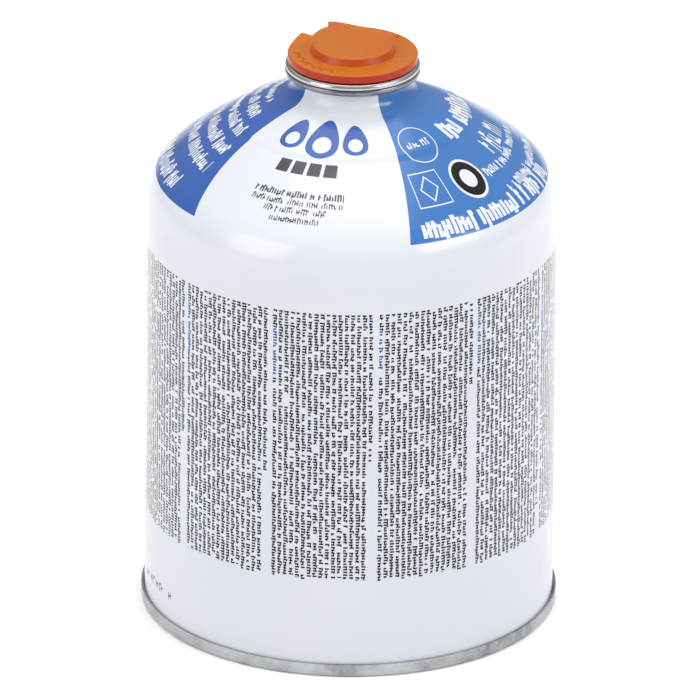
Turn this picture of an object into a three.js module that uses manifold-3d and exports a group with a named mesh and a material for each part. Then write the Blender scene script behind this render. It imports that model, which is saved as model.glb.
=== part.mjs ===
// Screw-on fuel canister: a sealed drawn-steel vessel with a seamed-on base, a screw valve and a clip-on cap.
// Millimetres, +Z up, origin under the middle of the base, and -Y is the side that the front print faces.
import * as THREE from "three";
import { mergeVertices } from "three/addons/utils/BufferGeometryUtils.js";
import Module from "manifold-3d";

const manifold = await Module();
manifold.setup();

// Fits between pieces
const seatGap = 0.25;
const slideGap = 0.25;

// Vessel: straight wall, round shoulder, crowned top with one draw step, and a neck
const bodyDiameter = 108.2;
const wallHeight = 113.1;
const shoulderRadius = 15.2;
const shoulderSweep = THREE.MathUtils.degToRad(49.9);
const crownRadius = 115;
const drawStepRadius = 31;
const drawStepWidth = 2.4;
const drawStepRise = 0.4;
const neckFillet = 6;
const neckHeight = 4.9;
const neckSheet = 0.75;
const beadRadius = 17.8;
const beadHeight = 1.7;
const beadRound = 0.7;

// Base: one pressed sheet, folded round the foot of the wall and dished up inside
const baseSheet = 0.6;
const wallSheet = 0.6;
const seamHeight = 3.8;
const seamRound = 0.5;
const chuckWallHeight = 6;
const chuckWallRound = 1.5;
const dishEdgeInset = 4.5;
const dishRise = 7;

// Valve cup: drawn sheet, curled over the neck, with the screw boss in its middle
const cupSheet = 0.6;
const cupBoreRadius = 13.2;
const cupDepth = 7.3;
const cupRound = 1.1;
const bossDiameter = 11.1;
const bossHeight = 8.6;
const bossRound = 0.8;
const bossMouthRadius = 1.9;
const neckGasketThickness = 0.5;

// Valve inside the boss
const stemGasketThickness = 1;
const stemTipRadius = 1.3;
const stemTipLength = 1.6;
const stemHeadRadius = 2.6;
const stemHeadHeight = 1.4;
const stemTailRadius = 1.2;
const stemTailLength = 4;
const housingWall = 1.4;
const housingLength = 12.5;
const housingFloor = 1.5;
const inletRadius = 0.8;
const springWire = 0.5;
const springTurns = 6;

// Cap: moulded in one piece, with a plug that grips the cup and a raised edge to lift it by
const capInset = 0.65;
const capRimHeight = 2.2;
const capRimWall = 1.1;
const capWall = 1.2;
const capEdgeRound = 0.45;
const plugDepth = 3.6;
const plugWall = 1.2;
const plugLeadIn = 0.4;
const plugLeadHeight = 0.8;
const discRadius = 10.4;
const discRise = 2.1;
const discBevel = 0.9;
const liftRise = 2.1;
const liftMiddle = THREE.MathUtils.degToRad(120);
const liftSpread = THREE.MathUtils.degToRad(45);
const notchFrom = THREE.MathUtils.degToRad(112.5);
const notchTo = THREE.MathUtils.degToRad(143);
const notchDepthClear = 0.45;
const cutClear = 1;

// Facets round the axis
const vesselFacets = 56;
const cupFacets = 40;
const capFacets = 60;
const valveFacets = 24;

// Outline helpers. A corner is [radius, height, fillet]; a plain point leaves the fillet out.
function roundedLine(corners, stepAngle = Math.PI / 4) {
  const line = [];
  corners.forEach(([r, z, fillet = 0], index) => {
    const here = new THREE.Vector2(r, z);
    if (fillet === 0) {
      line.push(here);
      return;
    }
    const back = new THREE.Vector2(...corners[index - 1]).sub(here).normalize();
    const ahead = new THREE.Vector2(...corners[index + 1]).sub(here).normalize();
    const half = Math.acos(THREE.MathUtils.clamp(back.dot(ahead), -1, 1)) / 2;
    const centre = back.clone().add(ahead).normalize().multiplyScalar(fillet / Math.sin(half)).add(here);
    const start = here.clone().addScaledVector(back, fillet / Math.tan(half)).sub(centre);
    const turn = Math.sign(back.cross(ahead)) * (2 * half - Math.PI);
    const steps = Math.max(2, Math.ceil(Math.abs(turn) / stepAngle));
    for (let step = 0; step <= steps; step += 1) {
      line.push(start.clone().rotateAround(new THREE.Vector2(), (turn * step) / steps).add(centre));
    }
  });
  return line;
}

function arc(centreR, centreZ, radius, from, to, steps) {
  const points = [];
  for (let step = 0; step <= steps; step += 1) {
    const angle = from + ((to - from) * step) / steps;
    points.push(new THREE.Vector2(centreR + radius * Math.cos(angle), centreZ + radius * Math.sin(angle)));
  }
  return points;
}

// Moves a line sideways, to its left as it runs
function offsetLine(line, distance) {
  return line.map((point, index) => {
    const before = line[Math.max(index - 1, 0)];
    const after = line[Math.min(index + 1, line.length - 1)];
    const into = point.clone().sub(before).normalize();
    const out = after.clone().sub(point).normalize();
    const along = into.add(out).normalize();
    const reach = index === 0 || index === line.length - 1 ? 1 : along.dot(after.clone().sub(point).normalize());
    return new THREE.Vector2(point.x - (along.y * distance) / reach, point.y + (along.x * distance) / reach);
  });
}

function revolve(outline, facets) {
  return new THREE.LatheGeometry(outline, facets).rotateX(Math.PI / 2);
}

function revolveLoop(outline, facets) {
  return revolve([...outline, outline[0]], facets);
}

function washer(inner, outer, foot, top, facets) {
  const corners = [[inner, foot], [outer, foot], [outer, top], [inner, top]];
  return revolveLoop(roundedLine(corners), facets);
}

// Levels, from the base up
const bodyRadius = bodyDiameter / 2;
const seamOuterLine = bodyRadius + seatGap + baseSheet / 2;
const chuckLine = bodyRadius - wallSheet - seatGap - baseSheet / 2;
const wallFoot = baseSheet + seatGap;
const crownCentreR = bodyRadius - shoulderRadius - (crownRadius - shoulderRadius) * Math.cos(shoulderSweep);
const crownCentreZ = wallHeight - (crownRadius - shoulderRadius) * Math.sin(shoulderSweep);
const innerCrownRadius = crownRadius + drawStepRise;
const neckBore = cupBoreRadius + cupSheet + seatGap;
const neckRadius = neckBore + neckSheet;
const neckFoot = crownCentreZ + Math.sqrt(innerCrownRadius ** 2 - (neckRadius - crownCentreR) ** 2);
const beadFoot = neckFoot + neckHeight;
const beadTop = beadFoot + beadHeight;
const cupTop = beadTop + seatGap + neckGasketThickness + seatGap + cupSheet;
const cupFloor = cupTop - cupDepth;
const bossRadius = bossDiameter / 2;
const bossBore = bossRadius - cupSheet;
const bossTop = cupFloor + bossHeight;
const stemGasketTop = bossTop - cupSheet - seatGap;
const stemGasketFoot = stemGasketTop - stemGasketThickness;
const housingTop = stemGasketFoot - seatGap;
const housingRadius = bossBore - seatGap;
const housingBore = housingRadius - housingWall;
const housingFoot = housingTop - housingLength;
const springSeat = housingFoot + housingFloor;
const stemHeadTop = stemGasketFoot - seatGap;
const stemHeadFoot = stemHeadTop - stemHeadHeight;
const capRadius = beadRadius - capInset;
const capFoot = cupTop + seatGap;
const capTop = capFoot + capRimHeight;
const discTop = capTop + discRise;

// The base sheet's middle line: down the outside of the seam, under the wall, up inside, then the dish
function seamLine() {
  return roundedLine([
    [seamOuterLine, seamHeight - baseSheet / 2],
    [seamOuterLine, baseSheet / 2, seamRound],
    [chuckLine, baseSheet / 2, seamRound],
    [chuckLine, wallFoot + seamRound],
  ]);
}

function panelLine() {
  const dishRadius = (chuckLine ** 2 + dishRise ** 2) / (2 * dishRise);
  const dishCentre = chuckWallHeight + dishRise - dishRadius;
  const edge = Math.acos((chuckLine - dishEdgeInset) / dishRadius);
  const dish = arc(0, dishCentre, dishRadius, edge, Math.PI / 2, 5);
  const corner = roundedLine([
    [chuckLine, wallFoot + 2 * seamRound],
    [chuckLine, chuckWallHeight, chuckWallRound],
    dish[0].toArray(),
  ]);
  return [...corner.slice(1, -1), ...dish];
}

function sheetOutline(line, thickness) {
  const half = thickness / 2;
  return [...offsetLine(line, -half), ...offsetLine(line, half).reverse()];
}

function baseGeometry() {
  const line = [...seamLine(), ...panelLine()];
  const outline = sheetOutline(line, baseSheet);
  const last = line.length - 1;
  outline[last].x = 0;
  outline[last + 1].x = 0;
  return revolve([...outline.slice(last + 1), ...outline.slice(0, last + 1)], vesselFacets);
}

// The vessel with its contents is one solid, because nothing opens it
function vesselGeometry() {
  const underside = offsetLine(panelLine(), -(baseSheet / 2 + seatGap)).reverse();
  underside[0].x = 0;
  const hookRadius = bodyRadius - wallSheet;
  const shoulder = arc(bodyRadius - shoulderRadius, wallHeight, shoulderRadius, 0, shoulderSweep, 7);
  const drawOuter = drawStepRadius + drawStepWidth / 2;
  const drawInner = drawStepRadius - drawStepWidth / 2;
  const crownAt = (radius, r) => Math.acos((r - crownCentreR) / radius);
  const outerCrown = arc(
    crownCentreR, crownCentreZ, crownRadius, shoulderSweep, crownAt(crownRadius, drawOuter), 4,
  ).slice(1);
  const filletCentreR = neckRadius + neckFillet;
  const filletReach = innerCrownRadius + neckFillet;
  const filletCentreZ = crownCentreZ + Math.sqrt(filletReach ** 2 - (filletCentreR - crownCentreR) ** 2);
  const tangent = Math.acos((filletCentreR - crownCentreR) / filletReach);
  const innerCrown = arc(
    crownCentreR, crownCentreZ, innerCrownRadius, crownAt(innerCrownRadius, drawInner), tangent, 2,
  );
  const fillet = arc(filletCentreR, filletCentreZ, neckFillet, tangent - Math.PI, -Math.PI, 4).slice(1);
  const bead = roundedLine([
    [neckRadius, neckFoot],
    [neckRadius, beadFoot, beadRound / 2],
    [beadRadius, beadFoot, beadRound],
    [beadRadius, beadTop, beadRound],
    [neckBore, beadTop],
    [neckBore, cupFloor - cupSheet - seatGap],
    [housingRadius + slideGap, cupFloor - cupSheet - seatGap],
    [housingRadius + slideGap, housingFoot - seatGap],
    [0, housingFoot - seatGap],
  ]).slice(1);
  return revolve(
    [
      ...underside,
      new THREE.Vector2(hookRadius, wallFoot),
      new THREE.Vector2(bodyRadius, wallFoot),
      ...shoulder,
      ...outerCrown,
      ...innerCrown,
      ...fillet,
      ...bead,
    ],
    vesselFacets,
  );
}

function neckGasketGeometry() {
  const inner = neckBore + seatGap;
  const outer = beadRadius - cupSheet - seatGap;
  const foot = beadTop + seatGap;
  return washer(inner, outer, foot, foot + neckGasketThickness, cupFacets);
}

function valveCupGeometry() {
  const half = cupSheet / 2;
  const line = roundedLine([
    [beadRadius - half, beadTop + seatGap],
    [beadRadius - half, cupTop - half, cupRound - half],
    [cupBoreRadius + half, cupTop - half, cupRound - half],
    [cupBoreRadius + half, cupFloor - half, cupRound],
    [bossRadius - half, cupFloor - half, bossRound],
    [bossRadius - half, bossTop - half, bossRound - half],
    [bossMouthRadius, bossTop - half],
  ]);
  return revolveLoop(sheetOutline(line, cupSheet), cupFacets);
}

function stemGasketGeometry() {
  return washer(stemTipRadius + slideGap, housingRadius, stemGasketFoot, stemGasketTop, valveFacets);
}

function valveHousingGeometry() {
  const outline = roundedLine([
    [inletRadius, housingFoot],
    [housingRadius, housingFoot],
    [housingRadius, housingTop],
    [housingBore, housingTop],
    [housingBore, springSeat],
    [inletRadius, springSeat],
  ]);
  return revolveLoop(outline, valveFacets);
}

function valveStemGeometry() {
  const outline = roundedLine([
    [0, stemHeadFoot - stemTailLength],
    [stemTailRadius, stemHeadFoot - stemTailLength],
    [stemTailRadius, stemHeadFoot],
    [stemHeadRadius, stemHeadFoot],
    [stemHeadRadius, stemHeadTop],
    [stemTipRadius, stemHeadTop],
    [stemTipRadius, stemHeadTop + stemTipLength],
    [0, stemHeadTop + stemTipLength],
  ]);
  return revolve(outline, valveFacets);
}

class Helix extends THREE.Curve {
  constructor(radius, foot, top, turns) {
    super();
    Object.assign(this, { radius, foot, top, turns });
  }

  getPoint(t) {
    const angle = 2 * Math.PI * this.turns * t;
    const z = THREE.MathUtils.lerp(this.foot, this.top, t);
    return new THREE.Vector3(this.radius * Math.cos(angle), this.radius * Math.sin(angle), z);
  }
}

function springGeometry() {
  const wireRadius = springWire / 2;
  const clear = wireRadius + seatGap;
  const coilRadius = stemTailRadius + clear;
  const path = new Helix(coilRadius, springSeat + clear, stemHeadFoot - clear, springTurns);
  const section = new THREE.Shape().absarc(0, 0, wireRadius, 0, 2 * Math.PI);
  return new THREE.ExtrudeGeometry(section, { steps: springTurns * 14, curveSegments: 3, extrudePath: path });
}

function solidFrom(geometry) {
  geometry.deleteAttribute("normal");
  geometry.deleteAttribute("uv");
  const merged = mergeVertices(geometry, 1e-4);
  const triVerts = [];
  const index = merged.index.array;
  for (let i = 0; i < index.length; i += 3) {
    const [a, b, c] = index.slice(i, i + 3);
    if (a !== b && b !== c && c !== a) triVerts.push(a, b, c);
  }
  const mesh = new manifold.Mesh({
    numProp: 3,
    vertProperties: new Float32Array(merged.attributes.position.array),
    triVerts: new Uint32Array(triVerts),
  });
  return new manifold.Manifold(mesh);
}

function geometryFrom(solid) {
  const mesh = solid.getMesh();
  const geometry = new THREE.BufferGeometry();
  geometry.setAttribute("position", new THREE.BufferAttribute(mesh.vertProperties, 3));
  geometry.setIndex(new THREE.BufferAttribute(mesh.triVerts, 1));
  return geometry;
}

// How far the cap's flange is bent up at an angle round the axis, so that a finger gets under it
function flangeLift(angle) {
  const away = Math.abs(angle - liftMiddle) / liftSpread;
  return away < 1 ? (liftRise * (1 + Math.cos(Math.PI * away))) / 2 : 0;
}

function capGeometry() {
  const plugRadius = cupBoreRadius - slideGap;
  const plugBore = plugRadius - plugWall;
  const flangeUnder = capTop - capWall;
  const discCeiling = discTop - capWall;
  const outline = roundedLine(
    [
      [0, discCeiling],
      [discRadius - capWall, discCeiling],
      [discRadius - capWall + discBevel, flangeUnder],
      [plugBore, flangeUnder],
      [plugBore, cupTop - plugDepth],
      [plugRadius - plugLeadIn, cupTop - plugDepth],
      [plugRadius, cupTop - plugDepth + plugLeadHeight],
      [plugRadius, flangeUnder],
      [capRadius - capRimWall, flangeUnder],
      [capRadius - capRimWall, capFoot],
      [capRadius, capFoot],
      [capRadius, capTop, capEdgeRound],
      [discRadius + discBevel, capTop],
      [discRadius, discTop, capEdgeRound],
      [0, discTop],
    ],
    Math.PI / 5,
  );
  const geometry = revolve(outline, capFacets);
  const position = geometry.attributes.position;
  for (let i = 0; i < position.count; i += 1) {
    const x = position.getX(i);
    const y = position.getY(i);
    const isFlange = Math.hypot(x, y) > discRadius + discBevel / 2 && position.getZ(i) > cupTop;
    if (isFlange) position.setZ(i, position.getZ(i) + flangeLift(Math.atan2(y, x)));
  }
  const notchInner = plugRadius + notchDepthClear;
  const notchOuter = 2 * capRadius;
  const sector = new THREE.Shape();
  sector.absarc(0, 0, notchInner, notchFrom, notchTo, false);
  sector.absarc(0, 0, notchOuter, notchTo, notchFrom, true);
  const cutter = new THREE.ExtrudeGeometry(sector, {
    depth: cutClear + capRimHeight + liftRise + cutClear,
    bevelEnabled: false,
    curveSegments: 8,
  });
  cutter.translate(0, 0, capFoot - cutClear);
  return geometryFrom(solidFrom(geometry).subtract(solidFrom(cutter)));
}

const finish = {
  lacquer: new THREE.MeshStandardMaterial({ color: 0xe9edf5, roughness: 0.25, metalness: 0.1 }),
  tinplate: new THREE.MeshStandardMaterial({ color: 0xb4b6b8, roughness: 0.3, metalness: 1 }),
  brass: new THREE.MeshStandardMaterial({ color: 0xb99a58, roughness: 0.35, metalness: 1 }),
  rubber: new THREE.MeshStandardMaterial({ color: 0x26282b, roughness: 0.8, metalness: 0 }),
  nylon: new THREE.MeshStandardMaterial({ color: 0xdfddd2, roughness: 0.5, metalness: 0 }),
  orange: new THREE.MeshStandardMaterial({ color: 0xd07828, roughness: 0.4, metalness: 0 }),
};

const canister = new THREE.Group();

function addPiece(name, geometry, material) {
  const mesh = new THREE.Mesh(geometry, material);
  mesh.name = name;
  canister.add(mesh);
}

addPiece("can_body", vesselGeometry(), finish.lacquer);
addPiece("seamed_base", baseGeometry(), finish.tinplate);
addPiece("neck_gasket", neckGasketGeometry(), finish.rubber);
addPiece("valve_cup", valveCupGeometry(), finish.tinplate);
addPiece("stem_gasket", stemGasketGeometry(), finish.rubber);
addPiece("valve_housing", valveHousingGeometry(), finish.nylon);
addPiece("valve_spring", springGeometry(), finish.tinplate);
addPiece("valve_stem", valveStemGeometry(), finish.brass);
addPiece("protective_cap", capGeometry(), finish.orange);

export default canister;
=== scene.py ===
import functools
import math

import bmesh
import bpy
from mathutils import Matrix, Vector


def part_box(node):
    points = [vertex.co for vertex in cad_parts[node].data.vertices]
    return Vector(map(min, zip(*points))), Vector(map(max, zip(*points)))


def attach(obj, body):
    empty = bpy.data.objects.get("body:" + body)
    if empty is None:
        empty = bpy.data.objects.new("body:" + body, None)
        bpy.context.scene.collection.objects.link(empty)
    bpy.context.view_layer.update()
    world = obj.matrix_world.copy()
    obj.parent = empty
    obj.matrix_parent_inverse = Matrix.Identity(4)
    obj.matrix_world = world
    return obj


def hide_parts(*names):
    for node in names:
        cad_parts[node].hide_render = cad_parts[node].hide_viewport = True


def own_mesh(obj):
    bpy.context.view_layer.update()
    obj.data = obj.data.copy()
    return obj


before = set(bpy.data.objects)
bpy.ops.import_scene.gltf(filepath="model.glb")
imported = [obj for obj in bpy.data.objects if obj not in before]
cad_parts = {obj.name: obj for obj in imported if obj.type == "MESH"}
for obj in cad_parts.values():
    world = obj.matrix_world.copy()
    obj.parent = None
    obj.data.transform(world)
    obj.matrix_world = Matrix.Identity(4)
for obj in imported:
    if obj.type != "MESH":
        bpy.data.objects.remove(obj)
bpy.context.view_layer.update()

# Looks of the fuel canister. Sizes below are in millimetres and follow the CAD part
MM = 0.001

# Sizes that the CAD part also has
BODY_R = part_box("can_body")[1].x / MM
WALL_HEIGHT = 113.1
SHOULDER_R = 15.2
SHOULDER_SWEEP = math.radians(49.9)
CROWN_R = 115.0
STEP_R, STEP_WIDTH, STEP_RISE = 31.0, 2.4, 0.4
NECK_R, NECK_FILLET = 14.8, 6.0
NECK_BORE = 14.05
BEAD_R, BEAD_HEIGHT, BEAD_ROUND = 17.8, 1.7, 0.7
SHEET = 0.6
SEAT_GAP = 0.25
SEAM_HEIGHT, SEAM_ROUND = 3.8, 0.5
CHUCK_HEIGHT, CHUCK_ROUND = 6.0, 1.5
DISH_RISE = 7.0
CUP_BORE, CUP_ROUND = 13.2, 1.1
BOSS_R, BOSS_ROUND, BOSS_MOUTH = 5.55, 0.8, 1.9
BOSS_ABOVE_CUP = 1.3
HOUSING_R = 4.7
CAP_R, CAP_RIM_WALL, CAP_WALL = 17.15, 1.1, 1.2
CAP_EDGE = 0.45
PLUG_R, PLUG_WALL = 12.95, 1.2
DISC_R, DISC_BEVEL, DISC_RISE = 10.4, 0.9, 2.1
LIFT_RISE = 2.1
LIFT_MIDDLE, LIFT_SPREAD = math.radians(120), math.radians(45)
NOTCH_FROM, NOTCH_TO = math.radians(112.5), math.radians(143)
NOTCH_R = 13.4

# The screw thread, the stem's steps and small roundings
THREAD_PITCH, THREAD_DEPTH = 0.907, 0.34
THREAD_ABOVE_FLOOR, THREAD_BELOW_TOP = 1.3, 0.9
STEM_FOOT_R, STEM_HEAD_R, STEM_ROUND = 1.2, 1.3, 0.2
COLLAR_R, COLLAR_LOW, COLLAR_HIGH, COLLAR_ROUND = 2.6, 3.0, 1.6, 0.15
CAP_FOOT_ROUND, CAP_INNER_ROUND = 0.15, 0.2
PLUG_LEAD_IN, PLUG_LEAD_HEIGHT = 0.4, 0.8

# Levels read from the frame
CUP_FOOT, BOSS_TOP = (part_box("valve_cup")[k].z / MM for k in (0, 1))
CUP_TOP = BOSS_TOP - BOSS_ABOVE_CUP
BEAD_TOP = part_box("can_body")[1].z / MM
BEAD_FOOT = BEAD_TOP - BEAD_HEIGHT
CUP_FLOOR = CUP_FOOT + SHEET
HOUSING_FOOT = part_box("valve_housing")[0].z / MM
STEM_FOOT, STEM_TOP = (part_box("valve_stem")[k].z / MM for k in (0, 1))
CAP_FOOT = CUP_TOP + SEAT_GAP
PLUG_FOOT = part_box("protective_cap")[0].z / MM
DISC_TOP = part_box("protective_cap")[1].z / MM
CAP_TOP = DISC_TOP - DISC_RISE

# Steps round each turned piece, and the smallest length that counts as one
AROUND_CAN, AROUND_CAP, AROUND_CUP, AROUND_STEM = 288, 240, 144, 64
FILLET_STEP = math.radians(9)
TINY = 1e-6


# Outline helpers: a corner is (radius, height) or (radius, height, fillet)
def rounded(corners):
    line = []
    for i, corner in enumerate(corners):
        here = Vector(corner[:2])
        if len(corner) < 3:
            line.append(here)
            continue
        back = (Vector(corners[i - 1][:2]) - here).normalized()
        ahead = (Vector(corners[i + 1][:2]) - here).normalized()
        half = math.acos(max(-1.0, min(1.0, back.dot(ahead)))) / 2
        fillet = corner[2]
        centre = here + (back + ahead).normalized() * (fillet / math.sin(half))
        start = here + back * (fillet / math.tan(half)) - centre
        turn = math.copysign(math.pi - 2 * half, -(back.x * ahead.y - back.y * ahead.x))
        steps = max(2, math.ceil(abs(turn) / FILLET_STEP))
        for k in range(steps + 1):
            a = turn * k / steps
            c, s = math.cos(a), math.sin(a)
            line.append(centre + Vector((start.x * c - start.y * s, start.x * s + start.y * c)))
    return line


def arc(cr, cz, radius, start, end, steps):
    angles = [start + (end - start) * k / steps for k in range(steps + 1)]
    return [Vector((cr + radius * math.cos(a), cz + radius * math.sin(a))) for a in angles]


def offset(line, distance):
    out = []
    for i, p in enumerate(line):
        into = (p - line[i - 1]).normalized() if i else (line[1] - p).normalized()
        away = (line[i + 1] - p).normalized() if i + 1 < len(line) else into
        along = (into + away).normalized()
        reach = along.dot(away)
        out.append(Vector((p.x - along.y * distance / reach, p.y + along.x * distance / reach)))
    return out


def sheet(line, thickness=SHEET):
    return offset(line, -thickness / 2) + offset(line, thickness / 2)[::-1]


def finer(line, longest):
    """Adds points along straight runs, so that no stretch is longer than longest."""
    out = [line[0]]
    for a, b in zip(line, line[1:]):
        count = max(1, math.ceil((b - a).length / longest))
        out += [a.lerp(b, k / count) for k in range(1, count + 1)]
    return out


def mesh_object(name, bm, material, sharp=35):
    bmesh.ops.recalc_face_normals(bm, faces=bm.faces)
    mesh = bpy.data.meshes.new(name)
    bm.to_mesh(mesh)
    bm.free()
    mesh.polygons.foreach_set("use_smooth", [True] * len(mesh.polygons))
    mesh.set_sharp_from_angle(angle=math.radians(sharp))
    piece = bpy.data.objects.new(name, mesh)
    bpy.context.scene.collection.objects.link(piece)
    for one in material if isinstance(material, (list, tuple)) else [material]:
        mesh.materials.append(one)
    return piece


def lathe(name, line, material, around, closed=False, shape=None):
    """Turns an outline round the axis. shape(angle, r, z) moves points, such as for a thread."""
    bm = bmesh.new()
    rings = []
    for p in line:
        if abs(p.x) < TINY:
            rings.append([bm.verts.new((0, 0, p.y * MM))])
            continue
        ring = []
        for k in range(around):
            a = 2 * math.pi * k / around
            r, z = shape(a, p.x, p.y) if shape else (p.x, p.y)
            ring.append(bm.verts.new((r * MM * math.cos(a), r * MM * math.sin(a), z * MM)))
        rings.append(ring)
    pairs = list(zip(rings, rings[1:]))
    if closed:
        pairs.append((rings[-1], rings[0]))
    for low, high in pairs:
        for k in range(around):
            n = (k + 1) % around
            corners = [low[k % len(low)], low[n % len(low)], high[n % len(high)], high[k % len(high)]]
            face = list(dict.fromkeys(corners))
            if len(face) > 2:
                bm.faces.new(face)
    return mesh_object(name, bm, material)


# Node fields: numbers worked out at each point of a surface by a material's nodes
class Field:
    def __init__(self, tree, socket):
        self.tree, self.socket = tree, socket

    def math(self, operation, *others):
        node = self.tree.nodes.new("ShaderNodeMath")
        node.operation = operation
        for index, value in enumerate((self, *others)):
            if isinstance(value, Field):
                self.tree.links.new(value.socket, node.inputs[index])
            else:
                node.inputs[index].default_value = value
        return Field(self.tree, node.outputs[0])

    def constant(self, value):
        node = self.tree.nodes.new("ShaderNodeValue")
        node.outputs[0].default_value = value
        return Field(self.tree, node.outputs[0])

    def __add__(self, other):
        return self.math("ADD", other)

    def __sub__(self, other):
        return self.math("SUBTRACT", other)

    def __rsub__(self, other):
        return self.constant(other).math("SUBTRACT", self)

    def __mul__(self, other):
        return self.math("MULTIPLY", other)

    def __truediv__(self, other):
        return self.math("DIVIDE", other)

    def __gt__(self, other):
        return self.math("GREATER_THAN", other)

    def __lt__(self, other):
        return self.math("LESS_THAN", other)

    def __and__(self, other):
        return self.math("MULTIPLY", other)

    def __or__(self, other):
        return self.math("MAXIMUM", other)

    def inside(self, low, high):
        """1 between low and high, and 0 elsewhere."""
        middle, half = (low + high) / 2, (high - low) / 2
        return (self - middle).math("ABSOLUTE") < half

    def without(self, other):
        return self & (1.0 - other)


class Surface:
    """A principled material with its object coordinates at hand, in millimetres and degrees."""

    def __init__(self, name, roughness, metallic=0.0, **sockets):
        self.material = bpy.data.materials.new(name)
        self.material.use_nodes = True
        self.tree = self.material.node_tree
        self.shader = self.tree.nodes["Principled BSDF"]
        self.shader.inputs["Roughness"].default_value = roughness
        self.shader.inputs["Metallic"].default_value = metallic
        for socket, value in sockets.items():
            self.shader.inputs[socket.replace("_", " ")].default_value = value
        place = self.tree.nodes.new("ShaderNodeTexCoord")
        split = self.tree.nodes.new("ShaderNodeSeparateXYZ")
        self.tree.links.new(place.outputs["Object"], split.inputs[0])
        self.point = place.outputs["Object"]
        x, y, z = (Field(self.tree, split.outputs[k]) for k in range(3))
        self.x, self.y = x, y
        self.angle = x.math("ARCTAN2", y * -1.0) * math.degrees(1)
        self.r = (x * x + y * y).math("SQRT") / MM
        self.z = z / MM

    def vector(self, x, y, z=0.0):
        node = self.tree.nodes.new("ShaderNodeCombineXYZ")
        for index, value in enumerate((x, y, z)):
            if isinstance(value, Field):
                self.tree.links.new(value.socket, node.inputs[index])
            else:
                node.inputs[index].default_value = value
        return node.outputs[0]

    def chance(self, x, y, seed):
        """Three fixed random numbers from 0 to 1 for each whole x and y."""
        noise = self.tree.nodes.new("ShaderNodeTexWhiteNoise")
        noise.noise_dimensions = "3D"
        self.tree.links.new(self.vector(x, y, seed), noise.inputs["Vector"])
        split = self.tree.nodes.new("ShaderNodeSeparateColor")
        self.tree.links.new(noise.outputs["Color"], split.inputs[0])
        return [Field(self.tree, split.outputs[k]) for k in range(3)]

    def noise(self, scale, detail=2.0, roughness=0.5, vector=None):
        node = self.tree.nodes.new("ShaderNodeTexNoise")
        node.inputs["Scale"].default_value = scale
        node.inputs["Detail"].default_value = detail
        node.inputs["Roughness"].default_value = roughness
        self.tree.links.new(vector or self.point, node.inputs["Vector"])
        return Field(self.tree, node.outputs[0])

    def ramp(self, field, low, high, out_low, out_high):
        node = self.tree.nodes.new("ShaderNodeMapRange")
        self.tree.links.new(field.socket, node.inputs["Value"])
        for socket, value in zip(("From Min", "From Max", "To Min", "To Max"), (low, high, out_low, out_high)):
            node.inputs[socket].default_value = value
        return Field(self.tree, node.outputs[0])

    def colour(self, value):
        node = self.tree.nodes.new("ShaderNodeRGB")
        node.outputs[0].default_value = (*linear(value), 1.0)
        return node.outputs[0]

    def mix(self, mask, under, over):
        """Lays the colour over on the colour under where mask is 1."""
        node = self.tree.nodes.new("ShaderNodeMix")
        node.data_type = "RGBA"
        self.tree.links.new(mask.socket, node.inputs[0])
        for socket, value in ((node.inputs[6], under), (node.inputs[7], over)):
            if isinstance(value, tuple):
                socket.default_value = (*linear(value), 1.0)
            else:
                self.tree.links.new(value, socket)
        return node.outputs[2]

    def plug(self, socket, value):
        self.tree.links.new(value.socket if isinstance(value, Field) else value, self.shader.inputs[socket])

    def bump(self, height, distance, strength=1.0):
        node = self.tree.nodes.new("ShaderNodeBump")
        node.inputs["Strength"].default_value = strength
        node.inputs["Distance"].default_value = distance
        self.tree.links.new(height.socket, node.inputs["Height"])
        self.tree.links.new(node.outputs[0], self.shader.inputs["Normal"])


def linear(colour):
    """An sRGB colour, from 0 to 255 a channel, as linear light."""
    return tuple((c / 255 / 12.92) if c < 10.3 else (((c / 255) + 0.055) / 1.055) ** 2.4 for c in colour)


# Colours of the print and the pieces, and of the painted light and shade on them
WHITE = (237, 240, 247)
BLUE = (52, 99, 180)
# Painted light: a lighter blue for the blue panel on the right half, as if more light fell on that side
BLUE_PAINTED_LIGHTER = (66, 124, 196)
BLACK = (3, 3, 8)
HEADING_BLUE = (70, 100, 170)
# Grey for a thin band on the white just under the bead: partly the lacquer's edge, partly painted shade under
# the bead
GREY_BAND_UNDER_BEAD = (196, 199, 206)
DATE_GREY = (70, 72, 82)
FILM = (218, 223, 236)
TIN = (196, 197, 200)
TIN_DULL = (134, 136, 141)
TIN_BASE = (182, 185, 186)
TIN_DARK = (52, 53, 57)
ORANGE = (207, 112, 4)
# The deeper orange is painted shade for the cap's sides and undersides
ORANGE_PAINTED_SHADE = (190, 50, 8)
BRASS, BRASS_DARK = (178, 148, 88), (140, 112, 62)
RUBBER, RUBBER_DARK = (34, 34, 37), (22, 22, 24)
NYLON, NYLON_DARK = (216, 214, 200), (196, 192, 176)
WIRE, WIRE_DARK = (178, 180, 184), (120, 122, 126)

# Bump distances in metres and the grain of small pieces
FINE_BUMP, COARSE_BUMP = 0.00003, 0.00004
GRAIN = 900.0


def ticks(s, along, across, height, pitch, seed, row=0.0, gap=0.17, thick=0.55):
    """A greeked line of small upright ticks of uneven height, in words: along runs with the line."""
    cell = (along / pitch).math("FLOOR")
    place = (along / pitch).math("FRACT")
    word, low, high = s.chance(cell, row, seed)
    bar = place < thick
    top = s.ramp(high, 0, 1, 0.62 * height, 1.12 * height)
    foot = s.ramp(low, 0.7, 1, 0.0, -0.22 * height)
    dash = ((across - high * height).math("ABSOLUTE") < 0.14 * height) & (low > 0.3)
    return ((bar & (across < top)) | dash) & (across > foot) & (word > gap)


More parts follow.
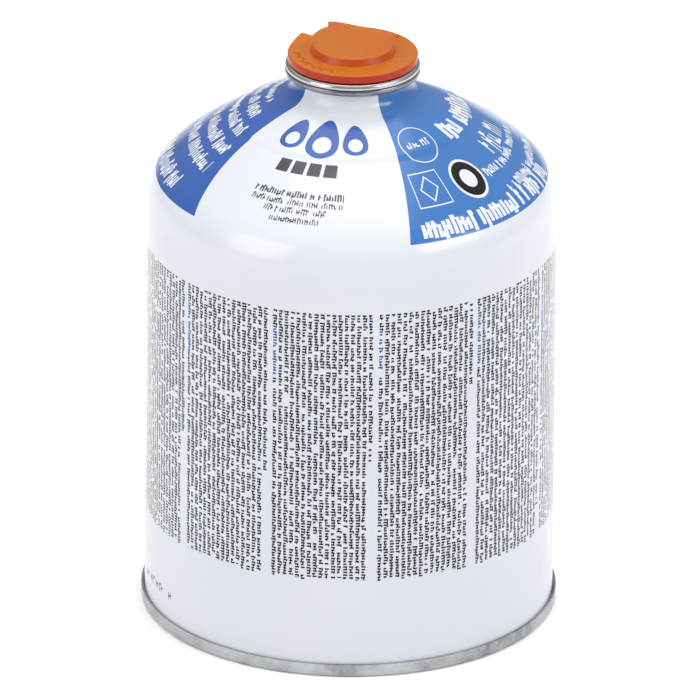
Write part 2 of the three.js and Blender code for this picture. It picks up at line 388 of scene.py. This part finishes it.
def lacquer(name, colour_of, specular, coat):
    """Glossy lacquer on steel, slightly uneven as it flows, over the print that colour_of lays."""
    s = Surface(name, 0.2, Coat_Weight=coat, Coat_Roughness=0.06)
    s.shader.inputs["Specular IOR Level"].default_value = specular
    s.shader.inputs["IOR"].default_value = 1.5
    base, ink = colour_of(s)
    tone = s.ramp(s.noise(28.0), 0.35, 0.65, 0.0, 0.16)
    s.plug("Base Color", s.mix(tone.without(ink), base, FILM))
    smear = s.noise(90.0, 4.0)
    s.plug("Roughness", s.ramp(smear, 0.3, 0.7, 0.17, 0.27))
    s.bump(s.noise(420.0, 3.0), FINE_BUMP, 0.35)
    return s.material


# Print on the dome, with some painted light and shade. Angles are in degrees from the front, to the right, and
# radii in millimetres.
# A place is an angle and a radius, and each drop has an angle and a size
FOLD, HALF_TURN = 106.0, 180.0
PANEL_FOOT = 121.4
# Top of the grey band under the bead, which is partly painted shade
GREY_BAND_TOP = BEAD_FOOT - 0.9
# Angles where the blue panel takes the lighter blue of painted light
PAINTED_LIGHT_ANGLES = (0, 160)
RING_PLACE, RING = (37.5, 28.3), (5.0, 5.3)
BOX_ANGLE, BOX_R, BOX_HALF, BOX_LINE = 30.5, 40.1, 4.6, 0.25
BOX_FROM, BOX_TO, BOX_LINE_R = 35.6, 44.6, 0.3
LOZENGE_FLAT, LOZENGE = 0.8, (2.3, 2.75)
DISC_PLACE, DISC_SPOT_R, DISC_DARK = (49.0, 40.5), 5.3, (2.4, 4.6)
DROPS_R, DROPS_MIDDLE = 25.0, 24.8
DROPS = ((-36.0, 4.7), (-17.0, 6.0), (2.0, 4.7))
DARK_BLOCKS, DARK_HALF, DARK_FROM, DARK_TO = (-31.6, -24.2, -16.8, -9.4), 2.9, 32.0, 35.6

# Lines of ticks: first and last angle, middle radius, height, pitch, seed and share of ink
RIGHT_LINES = (
    (30.5, 44.5, 28.3, 1.9, 0.9, 1.0, 0.4),
    (58.0, 112.0, 27.9, 5.4, 1.9, 2.0, 0.7),
    (72.0, 96.0, 36.7, 5.2, 1.5, 3.0, 0.35),
    (58.0, 104.0, 41.2, 2.0, 0.9, 4.0, 0.55),
    (62.0, 104.0, 46.5, 2.2, 1.0, 5.0, 0.55),
    (22.0, 88.0, 49.2, 3.5, 1.5, 6.0, 0.74),
)
# On the left panel every line starts at one angle: middle radius, last angle and height
LEFT_START, LEFT_PITCH, LEFT_SEED, LEFT_INK = -142.0, 1.15, 10.0, 0.6
LEFT_LINES = (
    (21.5, -84, 2.2), (26.0, -75, 2.9), (31.0, -68, 3.1),
    (36.4, -64, 3.1), (41.6, -64, 3.0), (48.6, -70.6, 3.4),
)
FRONT_LINES = (
    (-37.6, -2.8, 40.8, 1.5, 0.72, 20.0, 0.62),
    (-37.0, -3.0, 42.9, 1.3, 0.66, 21.0, 0.45),
    (-30.6, -8.6, 44.8, 1.3, 0.66, 22.0, 0.45),
    (-28.0, -10.7, 47.0, 1.2, 0.66, 23.0, 0.45),
)


def panels(s):
    """1 on the blue panels: the front wedge between them is repeated at the back."""
    folded = ((s.angle + FOLD) / HALF_TURN).math("FRACT") * HALF_TURN - FOLD
    left = (s.r - 30.0) * (s.r - 30.0) * 0.0138 - 59.3
    right = (s.r - 15.0) * -0.26 + 27.0
    wedge = (folded > left) & (folded < right)
    return (1.0 - wedge) & (s.z > PANEL_FOOT)


def text_line(s, angle_from, angle_to, middle, height, pitch, seed, thick):
    along = (s.angle - angle_from) * (math.radians(1) * middle)
    across = (middle + height / 2) - s.r
    line = ticks(s, along, across, height, pitch, seed, thick=thick)
    return line & s.angle.inside(angle_from, angle_to)


def distance_from(s, angle, radius):
    """How far each point lies from a spot on the dome, seen from above."""
    turn = math.radians(angle)
    dx, dy = s.x / MM - radius * math.sin(turn), s.y / MM + radius * math.cos(turn)
    return (dx * dx + dy * dy).math("SQRT")


def drop(s, middle, size):
    """A drop with its point towards the neck and a round hole in it."""
    x = (s.angle - middle) * (math.radians(1) * DROPS_R) / size
    y = (DROPS_MIDDLE - s.r) / size
    body = ((x * x * (y * 0.9 + 1.9) * 1.2 + y * y) < 1.0) & y.inside(-1.0, 1.0)
    core = ((x * x * 4.2) + (y + 0.35) * (y + 0.35) * 3.6) < 0.62
    return body.without(core)


def outlined_box(s):
    """A box drawn in outline, with a lozenge in it."""
    along = (s.angle - BOX_ANGLE) * (math.radians(1) * 40.0)
    box = along.inside(-BOX_HALF, BOX_HALF) & s.r.inside(BOX_FROM, BOX_TO)
    inner = BOX_HALF - BOX_LINE
    hole = along.inside(-inner, inner) & s.r.inside(BOX_FROM + BOX_LINE_R, BOX_TO - BOX_LINE_R)
    lozenge = along.math("ABSOLUTE") + (s.r - BOX_R).math("ABSOLUTE") * LOZENGE_FLAT
    return box.without(hole) | lozenge.inside(*LOZENGE)


def any_of(masks):
    """1 where any of the masks is 1."""
    return functools.reduce(lambda a, b: a | b, masks)


def dome_print(s):
    blue = panels(s)
    disc = distance_from(s, *DISC_PLACE)
    right = [text_line(s, *line) for line in RIGHT_LINES]
    left = [
        text_line(s, LEFT_START, end, radius, height, LEFT_PITCH, LEFT_SEED + index, LEFT_INK)
        for index, (radius, end, height) in enumerate(LEFT_LINES)
    ]
    ring = distance_from(s, *RING_PLACE).inside(*RING)
    white = any_of([ring, outlined_box(s), disc < DISC_SPOT_R, *right, *left])
    emblem = any_of([drop(s, middle, size) for middle, size in DROPS])
    row = s.r.inside(DARK_FROM, DARK_TO)
    blocks = [s.angle.inside(middle - DARK_HALF, middle + DARK_HALF) & row for middle in DARK_BLOCKS]
    front = [text_line(s, *line) for line in FRONT_LINES]
    black = any_of([disc.inside(*DISC_DARK), *blocks, *front])

    colour = s.mix(blue | emblem, s.colour(WHITE), BLUE)
    # Painted light: the right-hand blue panel is made a lighter blue, as if more light fell on that side
    colour = s.mix(blue & s.angle.inside(*PAINTED_LIGHT_ANGLES), colour, BLUE_PAINTED_LIGHTER)
    colour = s.mix(white, colour, WHITE)
    colour = s.mix(black, colour, BLACK)
    # A grey band on the white just under the bead: partly the lacquer's edge, partly painted shade under the
    # bead
    band_under_bead = s.z.inside(GREY_BAND_TOP, BEAD_FOOT)
    colour = s.mix(band_under_bead.without(blue), colour, GREY_BAND_UNDER_BEAD)
    return colour, blue | emblem


# Print on the wall: columns of small text that stand on end
COLUMN = 1.7
BLOCK = 30.0
COLUMNS_IN_BLOCK = 17
TEXT_TOP = 103.4
TEXT_FOOT = 27.5
TEXT_RAGGED = (-0.3, 0.7)
TEXT_SEED, TEXT_INDENT = 30.0, 0.34
LAST_COLUMN_END = (TEXT_FOOT + 4.0, TEXT_TOP - 12.0)
FIRST_COLUMN = -22.3
HEADING_FOOT, HEADING_TOP = 85.0, TEXT_TOP - 4.5
DATE_FROM, DATE_TO, DATE_FOOT = -81.0, -60.0, 9.5
MM_PER_DEGREE = math.radians(1) * BODY_R


def wall_print(s):
    turned = (s.angle - FIRST_COLUMN) / BLOCK
    in_block = turned.math("FRACT") * BLOCK
    column = (in_block / COLUMN).math("FLOOR") + turned.math("FLOOR") * COLUMNS_IN_BLOCK
    across = (in_block / COLUMN).math("FRACT") * (COLUMN * MM_PER_DEGREE) - TEXT_INDENT
    along = TEXT_TOP - s.z
    text = ticks(s, along, across, 1.08, 0.78, TEXT_SEED, row=column, gap=0.12, thick=0.63)
    short, ragged, _ = s.chance(column, 5.0, TEXT_SEED + 1)
    foot = s.ramp(ragged, 0, 1, TEXT_FOOT + TEXT_RAGGED[0], TEXT_FOOT + TEXT_RAGGED[1])
    end = s.ramp(short, 0.0, 1.0, *LAST_COLUMN_END)
    last = in_block > COLUMN * (COLUMNS_IN_BLOCK - 1)
    cut = last & (s.z < end)
    inked = text & (s.z > foot) & (s.z < TEXT_TOP) & (in_block < COLUMN * COLUMNS_IN_BLOCK)
    inked = inked.without(cut)
    heading = (in_block < COLUMN) & (s.z > HEADING_FOOT) & (s.z < HEADING_TOP)
    colour = s.mix(inked, s.colour(WHITE), BLACK)
    colour = s.mix(inked & heading, colour, HEADING_BLUE)
    date_along = (s.angle - DATE_FROM) * MM_PER_DEGREE
    date = ticks(s, date_along, s.z - DATE_FOOT, 2.0, 1.15, TEXT_SEED + 2, gap=0.2, thick=0.3)
    date = date & s.angle.inside(DATE_FROM, DATE_TO)
    colour = s.mix(date, colour, DATE_GREY)
    return colour, date | inked


def tinplate(name, colour, roughness, stain):
    """Bright tinned sheet: turned lines, small scuffs and patches of a dull film."""
    s = Surface(name, roughness, metallic=1.0)
    lines = s.noise(1.0, 3.0, 0.6, s.vector(s.r * 3.0, s.z * 3.0, s.angle * 0.02))
    scuffs = s.noise(330.0, 5.0, 0.62)
    film = s.noise(60.0, 3.0)
    worn = s.ramp(film, 0.45, 0.7, 0.0, stain) & s.ramp(scuffs, 0.35, 0.6, 0.3, 1.0)
    s.plug("Base Color", s.mix(worn, colour, TIN_DARK))
    s.plug("Roughness", s.ramp(lines + scuffs * 0.5, 0.5, 1.0, roughness - 0.09, roughness + 0.12))
    s.bump(lines + s.ramp(scuffs, 0.56, 0.62, 0.0, 0.5), COARSE_BUMP, 0.5)
    return s.material


def moulded_orange():
    """Semi-gloss moulded plastic with a fine grain, faint flow marks, rubbed spots and painted shade: faces
    that point sideways or down get a deeper orange.
    """
    s = Surface("moulded_orange", 0.34)
    s.shader.inputs["Specular IOR Level"].default_value = 0.36
    s.shader.inputs["Subsurface Weight"].default_value = 0.12
    s.shader.inputs["Subsurface Radius"].default_value = (1.0, 0.35, 0.1)
    s.shader.inputs["Subsurface Scale"].default_value = 0.0015
    geometry = s.tree.nodes.new("ShaderNodeNewGeometry")
    split = s.tree.nodes.new("ShaderNodeSeparateXYZ")
    s.tree.links.new(geometry.outputs["True Normal"], split.inputs[0])
    flow = s.noise(55.0, 3.0)
    # Painted shade: faces that point sideways or down take the deeper orange, and the flow marks add a little
    # of it at random
    side_shade_mask = s.ramp(Field(s.tree, split.outputs[2]), 0.15, 0.9, 1.0, 0.0)
    s.plug("Base Color", s.mix(side_shade_mask | s.ramp(flow, 0.4, 0.7, 0.0, 0.16), ORANGE, ORANGE_PAINTED_SHADE))
    s.plug("Roughness", s.ramp(s.noise(260.0, 4.0), 0.3, 0.7, 0.27, 0.42))
    s.bump(s.noise(2600.0, 2.0), COARSE_BUMP, 0.3)
    return s.material


def plain(name, colour, dark, roughness, metallic=0.0):
    """A small piece's finish: two near tones, uneven gloss and a fine grain."""
    s = Surface(name, roughness, metallic=metallic)
    s.plug("Base Color", s.mix(s.ramp(s.noise(150.0, 4.0), 0.35, 0.7, 0.0, 1.0), colour, dark))
    s.plug("Roughness", s.ramp(s.noise(GRAIN, 3.0), 0.3, 0.7, roughness - 0.06, roughness + 0.08))
    s.bump(s.noise(GRAIN * 2), FINE_BUMP, 0.4)
    return s.material


# Outlines
SEAM_LINE = BODY_R + SEAT_GAP + SHEET / 2
CHUCK_LINE = BODY_R - SHEET - SEAT_GAP - SHEET / 2
WALL_FOOT = SHEET + SEAT_GAP
DOME_R = BODY_R - SHOULDER_R - (CROWN_R - SHOULDER_R) * math.cos(SHOULDER_SWEEP)
DOME_Z = WALL_HEIGHT - (CROWN_R - SHOULDER_R) * math.sin(SHOULDER_SWEEP)
STEP_SOFTNESS = 0.8


def panel_line():
    radius = (CHUCK_LINE**2 + DISH_RISE**2) / (2 * DISH_RISE)
    centre = CHUCK_HEIGHT + DISH_RISE - radius
    edge = math.acos((CHUCK_LINE - 3 * CHUCK_ROUND) / radius)
    dish = arc(0, centre, radius, edge, math.pi / 2, 24)
    foot = (CHUCK_LINE, WALL_FOOT + 2 * SEAM_ROUND)
    corner = rounded([foot, (CHUCK_LINE, CHUCK_HEIGHT, CHUCK_ROUND), tuple(dish[0])])
    return corner[:-1] + dish


def dome_lines():
    """The outside of the shoulder and crown, the drawn step in it, and the fillet up to the neck."""
    inner = CROWN_R + STEP_RISE

    def at(radius, r):
        return math.acos((r - DOME_R) / radius)

    shoulder = arc(BODY_R - SHOULDER_R, WALL_HEIGHT, SHOULDER_R, 0, SHOULDER_SWEEP, 20)
    outer = arc(DOME_R, DOME_Z, CROWN_R, SHOULDER_SWEEP, at(CROWN_R, STEP_R + STEP_WIDTH / 2), 24)[1:]
    fillet_r = NECK_R + NECK_FILLET
    reach = inner + NECK_FILLET
    fillet_z = DOME_Z + math.sqrt(reach**2 - (fillet_r - DOME_R) ** 2)
    tangent = math.acos((fillet_r - DOME_R) / reach)
    crown = arc(DOME_R, DOME_Z, inner, at(inner, STEP_R - STEP_WIDTH / 2), tangent, 12)
    fillet = arc(fillet_r, fillet_z, NECK_FILLET, tangent - math.pi, -math.pi, 14)[1:]
    a, b = outer[-1], crown[0]
    ease = [
        a.lerp(b, t) + Vector((0, (3 * t * t - 2 * t**3 - t) * (b.y - a.y) * STEP_SOFTNESS))
        for t in (0.2, 0.4, 0.6, 0.8)
    ]
    return shoulder + outer + ease + crown + fillet


def make_can():
    underside = offset(panel_line(), -(SHEET / 2 + SEAT_GAP))[::-1]
    underside[0].x = 0
    top = rounded([
        (NECK_R, BEAD_FOOT - 1), (NECK_R, BEAD_FOOT, BEAD_ROUND / 2), (BEAD_R, BEAD_FOOT, BEAD_ROUND),
        (BEAD_R, BEAD_TOP, BEAD_ROUND), (NECK_BORE, BEAD_TOP), (NECK_BORE, CUP_FOOT - SEAT_GAP),
        (HOUSING_R + SEAT_GAP, CUP_FOOT - SEAT_GAP), (HOUSING_R + SEAT_GAP, HOUSING_FOOT - SEAT_GAP),
        (0, HOUSING_FOOT - SEAT_GAP),
    ])[1:]
    wall = finer([Vector((BODY_R, WALL_FOOT)), Vector((BODY_R, WALL_HEIGHT))], 6.0)
    line = underside + [Vector((BODY_R - SHEET, WALL_FOOT))] + wall[:-1] + dome_lines() + top
    bare = tinplate("bare_steel", TIN_DULL, 0.3, 0.8)
    dome_coat = lacquer("lacquer_dome", dome_print, specular=0.36, coat=0.2)
    wall_coat = lacquer("lacquer_wall", wall_print, specular=0.25, coat=0.12)
    finishes = [dome_coat, wall_coat, bare]
    can = lathe("printed_can", line, finishes, AROUND_CAN)
    for face in can.data.polygons:
        z = face.center.z / MM
        outside = Vector(face.center.xy).length / MM > NECK_R - 0.2
        if z < WALL_FOOT + 0.1 or z > BEAD_FOOT - 0.3 or not outside:
            face.material_index = finishes.index(bare)
        elif z < (TEXT_TOP + PANEL_FOOT) / 2:
            face.material_index = finishes.index(wall_coat)
    return can


def make_base(material):
    seam = rounded([
        (SEAM_LINE, SEAM_HEIGHT - SHEET / 2), (SEAM_LINE, SHEET / 2, SEAM_ROUND),
        (CHUCK_LINE, SHEET / 2, SEAM_ROUND), (CHUCK_LINE, WALL_FOOT + SEAM_ROUND),
    ])
    line = sheet(finer(seam + panel_line()[1:], 4.0))
    half = len(line) // 2
    line[half - 1].x = line[half].x = 0
    return lathe("rolled_base", line[half:] + line[:half], material, AROUND_CAN)


def make_cup(material):
    half = SHEET / 2
    line = rounded([
        (BEAD_R - half, BEAD_TOP + SEAT_GAP), (BEAD_R - half, CUP_TOP - half, CUP_ROUND - half),
        (CUP_BORE + half, CUP_TOP - half, CUP_ROUND - half), (CUP_BORE + half, CUP_FLOOR - half, CUP_ROUND),
        (BOSS_R - half, CUP_FLOOR - half, BOSS_ROUND), (BOSS_R - half, BOSS_TOP - half, BOSS_ROUND - half),
        (BOSS_MOUTH, BOSS_TOP - half),
    ])
    outline = finer(sheet(line), 0.144 * THREAD_PITCH)
    low, high = CUP_FLOOR + THREAD_ABOVE_FLOOR, BOSS_TOP - THREAD_BELOW_TOP

    def thread(angle, r, z):
        if not (BOSS_R - 0.05 < r < BOSS_R + 0.05 and low < z < high):
            return r, z
        turn = (z / THREAD_PITCH - angle / (2 * math.pi)) % 1
        run_out = min(1.0, (z - low) / THREAD_PITCH, (high - z) / THREAD_PITCH)
        return r - THREAD_DEPTH * run_out * (1 - abs(2 * turn - 1)), z

    return lathe("threaded_cup", outline, material, AROUND_CUP, closed=True, shape=thread)


def make_stem(material):
    low, high = STEM_TOP - COLLAR_LOW, STEM_TOP - COLLAR_HIGH
    line = rounded([
        (0, STEM_FOOT), (STEM_FOOT_R, STEM_FOOT, STEM_ROUND), (STEM_FOOT_R, low),
        (COLLAR_R, low, COLLAR_ROUND), (COLLAR_R, high, COLLAR_ROUND), (STEM_HEAD_R, high),
        (STEM_HEAD_R, STEM_TOP, 0.25), (0.55, STEM_TOP, 0.1), (0.5, STEM_TOP - 1.2), (0, STEM_TOP - 1.3),
    ])
    return lathe("turned_stem", line, material, AROUND_STEM)


def flange_lift(angle):
    away = abs((angle - LIFT_MIDDLE + math.pi) % (2 * math.pi) - math.pi) / LIFT_SPREAD
    return LIFT_RISE * (1 + math.cos(math.pi * away)) / 2 if away < 1 else 0.0


def make_cap(material):
    """The cap turned in columns, with its flange bent up round the notch and cut away across it."""
    under, ceiling = CAP_TOP - CAP_WALL, DISC_TOP - CAP_WALL
    inner = rounded([
        (0, ceiling), (DISC_R - CAP_WALL, ceiling, 0.3), (DISC_R - CAP_WALL + DISC_BEVEL, under, 0.25),
        (PLUG_R - PLUG_WALL, under, 0.25), (PLUG_R - PLUG_WALL, PLUG_FOOT, CAP_INNER_ROUND),
        (PLUG_R - PLUG_LEAD_IN, PLUG_FOOT, CAP_INNER_ROUND), (PLUG_R, PLUG_FOOT + PLUG_LEAD_HEIGHT, 0.3),
        (PLUG_R, under, CAP_INNER_ROUND), (NOTCH_R, under),
    ])
    rim = rounded([
        (NOTCH_R, under), (CAP_R - CAP_RIM_WALL, under, CAP_INNER_ROUND),
        (CAP_R - CAP_RIM_WALL, CAP_FOOT, CAP_FOOT_ROUND), (CAP_R, CAP_FOOT, CAP_FOOT_ROUND),
        (CAP_R, CAP_TOP, CAP_EDGE), (NOTCH_R, CAP_TOP),
    ])
    crown = rounded([
        (NOTCH_R, CAP_TOP), (DISC_R + DISC_BEVEL, CAP_TOP, 0.35),
        (DISC_R, DISC_TOP, CAP_EDGE), (0, DISC_TOP),
    ])
    inner, rim, crown = finer(inner, 0.8), finer(rim, 0.5), finer(crown, 0.8)
    line = inner + rim[1:] + crown[1:]
    cut_from = len(inner) - 1
    cut_to = cut_from + len(rim) - 1
    angles = [2 * math.pi * k / AROUND_CAP for k in range(AROUND_CAP)]
    for end in (NOTCH_FROM, NOTCH_TO):
        angles[min(range(AROUND_CAP), key=lambda k: abs(angles[k] - end))] = end
    bm = bmesh.new()
    axis = {0: bm.verts.new((0, 0, line[0].y * MM)), len(line) - 1: bm.verts.new((0, 0, line[-1].y * MM))}
    columns = []
    for a in angles:
        inside_cut = NOTCH_FROM + TINY < a < NOTCH_TO - TINY
        column = []
        for i, p in enumerate(line):
            if i in axis:
                column.append(axis[i])
                continue
            if inside_cut and cut_from < i < cut_to:
                column.append(None)
                continue
            share = min(1.0, max(0.0, (p.x - DISC_R) / DISC_BEVEL)) if p.y > CUP_TOP else 0.0
            z = p.y if p.y >= DISC_TOP else min(p.y + share * flange_lift(a), DISC_TOP)
            column.append(bm.verts.new((p.x * MM * math.cos(a), p.x * MM * math.sin(a), z * MM)))
        columns.append(column)
    for k, here in enumerate(columns):
        there = columns[(k + 1) % AROUND_CAP]
        cut = NOTCH_FROM - TINY < angles[k] < NOTCH_TO - TINY
        for i in range(len(line) - 1):
            if cut and cut_from <= i < cut_to:
                continue
            bm.faces.new(list(dict.fromkeys([here[i], there[i], there[i + 1], here[i + 1]])))
        if cut:
            bm.faces.new([here[cut_from], there[cut_from], there[cut_to], here[cut_to]])
    for end in (NOTCH_FROM, NOTCH_TO):
        column = columns[angles.index(end)]
        bm.faces.new(column[cut_from:cut_to + 1])
    return mesh_object("orange_cap", bm, material, sharp=40)


# Raised marks on the flange
RIDGE_STEPS, RIDGE_END, RIDGE_SUNK = 6, 0.35, 0.02
TICK_COUNT, TICK_FROM, TICK_STEP = 13, 186, 5.2
PIP_ANGLE = math.radians(41)


def ridge(name, ends, width, height, material):
    """A low rounded ridge on the cap's flange, along points given as (radius, angle)."""
    points = [
        Vector((r * math.cos(a), r * math.sin(a), CAP_TOP + flange_lift(a) - RIDGE_SUNK)) for r, a in ends
    ]
    bm = bmesh.new()
    rows = []
    for i, p in enumerate(points):
        ahead = points[min(i + 1, len(points) - 1)] - points[max(i - 1, 0)]
        side = Vector((-ahead.y, ahead.x, 0)).normalized()
        swell = RIDGE_END if i in (0, len(points) - 1) else 1.0
        row = []
        for k in range(RIDGE_STEPS + 1):
            a = math.pi * k / RIDGE_STEPS
            rise = Vector((0, 0, height * swell * math.sin(a)))
            row.append(bm.verts.new((p + side * (width / 2 * swell * math.cos(a)) + rise) * MM))
        rows.append(row)
    for low, high in zip(rows, rows[1:]):
        for k in range(RIDGE_STEPS):
            bm.faces.new([low[k], low[k + 1], high[k + 1], high[k]])
        bm.faces.new([low[-1], low[0], high[0], high[-1]])
    bm.faces.new(rows[0])
    bm.faces.new(rows[-1])
    return mesh_object(name, bm, material)


def make_cap_marks(material):
    """Plain raised ticks on the flange's left front, and one small pip."""
    marks = []
    for k in range(TICK_COUNT):
        a = math.radians(TICK_FROM + TICK_STEP * k)
        lean = math.radians((k * 37 % 5 - 2) * 1.2)
        r0, r1 = 13.7 + 0.25 * (k % 3), 15.6 - 0.3 * (k % 2)
        if k % 4 == 3:
            r1 = r0 + 0.8
        ends = [(r0, a - lean), ((r0 + r1) / 2, a), (r1, a + lean)]
        marks.append(ridge(f"flange_tick_{k + 1:02d}", ends, 0.5, 0.36, material))
    pip = [(r, PIP_ANGLE) for r in (14.7, 15.4, 16.1)]
    marks.append(ridge("flange_pip", pip, 0.9, 0.45, material))
    return marks


def dress(piece, body, slot, *nodes):
    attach(piece, body)
    if nodes:
        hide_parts(*nodes)


# Pieces
tin = tinplate("tinplate", TIN, 0.2, 0.5)
base_tin = tinplate("seam_tinplate", TIN_BASE, 0.26, 0.6)
orange = moulded_orange()
brass = plain("turned_brass", BRASS, BRASS_DARK, 0.3, 1.0)
rubber = plain("black_rubber", RUBBER, RUBBER_DARK, 0.7)
nylon = plain("natural_nylon", NYLON, NYLON_DARK, 0.45)
wire = plain("drawn_wire", WIRE, WIRE_DARK, 0.3, 1.0)

dress(make_can(), "canister", "lacquered_steel", "can_body")
dress(make_base(base_tin), "canister", "tinplate", "seamed_base")
dress(make_cup(tin), "canister", "tinplate", "valve_cup")
dress(make_stem(brass), "stem", "stem_brass", "valve_stem")
dress(make_cap(orange), "cap", "orange_plastic", "protective_cap")
for mark in make_cap_marks(orange):
    dress(mark, "cap", "orange_plastic")
cad_finishes = {
    "neck_gasket": rubber, "stem_gasket": rubber, "valve_housing": nylon, "valve_spring": wire,
}
for node, material in cad_finishes.items():
    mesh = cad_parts[node].data
    mesh.materials.clear()
    mesh.materials.append(material)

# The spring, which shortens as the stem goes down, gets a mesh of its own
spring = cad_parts["valve_spring"]
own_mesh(spring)


# Camera: a long lens, 23.5 degrees above level, as the photograph was taken
ELEVATION = math.radians(23.5)
CAMERA_ROLL = math.radians(0.46)
CAMERA_TARGET = Vector((-0.63, 0, 70.59)) * MM
CAMERA_DISTANCE = 6.0
PICTURE_PIXELS = 696
PIXELS_PER_MM = 3.787
SENSOR = 36.0

camera_data = bpy.data.cameras.new("camera")
camera_data.sensor_width = SENSOR
camera_data.lens = PIXELS_PER_MM / MM * CAMERA_DISTANCE * SENSOR / PICTURE_PIXELS
camera_data.clip_end = 4 * CAMERA_DISTANCE
camera = bpy.data.objects.new("camera", camera_data)
back = Vector((0, -math.cos(ELEVATION), math.sin(ELEVATION)))
up = Vector((0, math.sin(ELEVATION), math.cos(ELEVATION)))
turn = Matrix((Vector((1, 0, 0)), up, back)).transposed() @ Matrix.Rotation(CAMERA_ROLL, 3, "Z")
camera.matrix_world = Matrix.Translation(CAMERA_TARGET + back * CAMERA_DISTANCE) @ turn.to_4x4()
bpy.context.scene.collection.objects.link(camera)
bpy.context.scene.camera = camera

# Floor, world and lamps
WORLD_LEVEL = 0.7
HORIZON_LEVEL = 0.22
SKY_CURVE = 0.7
FLOOR_SIZE, FLOOR_DROP = 6.0, 0.0001
FLOOR_SHADE, FLOOR_SEEN_LIFT = 0.78, 0.5
LAMP_AIM = Vector((0, 0, 0.08))


def make_floor():
    bm = bmesh.new()
    half = FLOOR_SIZE / 2
    corners = ((-half, -half), (half, -half), (half, half), (-half, half))
    bm.faces.new([bm.verts.new((x, y, -FLOOR_DROP)) for x, y in corners])
    material = bpy.data.materials.new("floor")
    material.use_nodes = True
    tree = material.node_tree
    tree.nodes.remove(tree.nodes["Principled BSDF"])
    path = tree.nodes.new("ShaderNodeLightPath")
    seen = Field(tree, path.outputs["Is Camera Ray"]) | Field(tree, path.outputs["Is Glossy Ray"])
    shade = seen * FLOOR_SEEN_LIFT + FLOOR_SHADE
    diffuse = tree.nodes.new("ShaderNodeBsdfDiffuse")
    combine = tree.nodes.new("ShaderNodeCombineColor")
    for index in range(3):
        tree.links.new(shade.socket, combine.inputs[index])
    tree.links.new(combine.outputs[0], diffuse.inputs["Color"])
    tree.links.new(diffuse.outputs[0], tree.nodes["Material Output"].inputs["Surface"])
    mesh_object("floor", bm, material)


def make_world():
    world = bpy.data.worlds.new("studio")
    bpy.context.scene.world = world
    world.use_nodes = True
    tree = world.node_tree
    path = tree.nodes.new("ShaderNodeLightPath")
    place = tree.nodes.new("ShaderNodeTexCoord")
    split = tree.nodes.new("ShaderNodeSeparateXYZ")
    tree.links.new(place.outputs["Generated"], split.inputs[0])
    height = Field(tree, split.outputs[2]).math("ABSOLUTE")
    sky = height.math("POWER", SKY_CURVE) * (WORLD_LEVEL - HORIZON_LEVEL) + HORIZON_LEVEL
    seen = Field(tree, path.outputs["Is Camera Ray"])
    level = seen | sky.without(seen)
    tree.links.new(level.socket, tree.nodes["Background"].inputs["Strength"])
    tree.nodes["Background"].inputs["Color"].default_value = (1, 1, 1, 1)


def make_lamp(name, place, size, power):
    data = bpy.data.lights.new(name, "AREA")
    data.shape = "RECTANGLE"
    data.size, data.size_y = size
    data.energy = power
    lamp = bpy.data.objects.new(name, data)
    lamp.location = place
    aim = LAMP_AIM - Vector(place)
    lamp.rotation_euler = aim.to_track_quat("-Z", "Y").to_euler()
    bpy.context.scene.collection.objects.link(lamp)


make_floor()
make_world()
make_lamp("left_front_box", (-1.35, -0.95, 0.75), (1.0, 1.0), 9.0)
make_lamp("right_window", (1.4, -0.75, 0.95), (1.1, 0.4), 10.0)
make_lamp("overhead", (0.0, 0.3, 1.8), (1.4, 1.4), 10.5)

bpy.context.scene.view_settings.view_transform = "Standard"
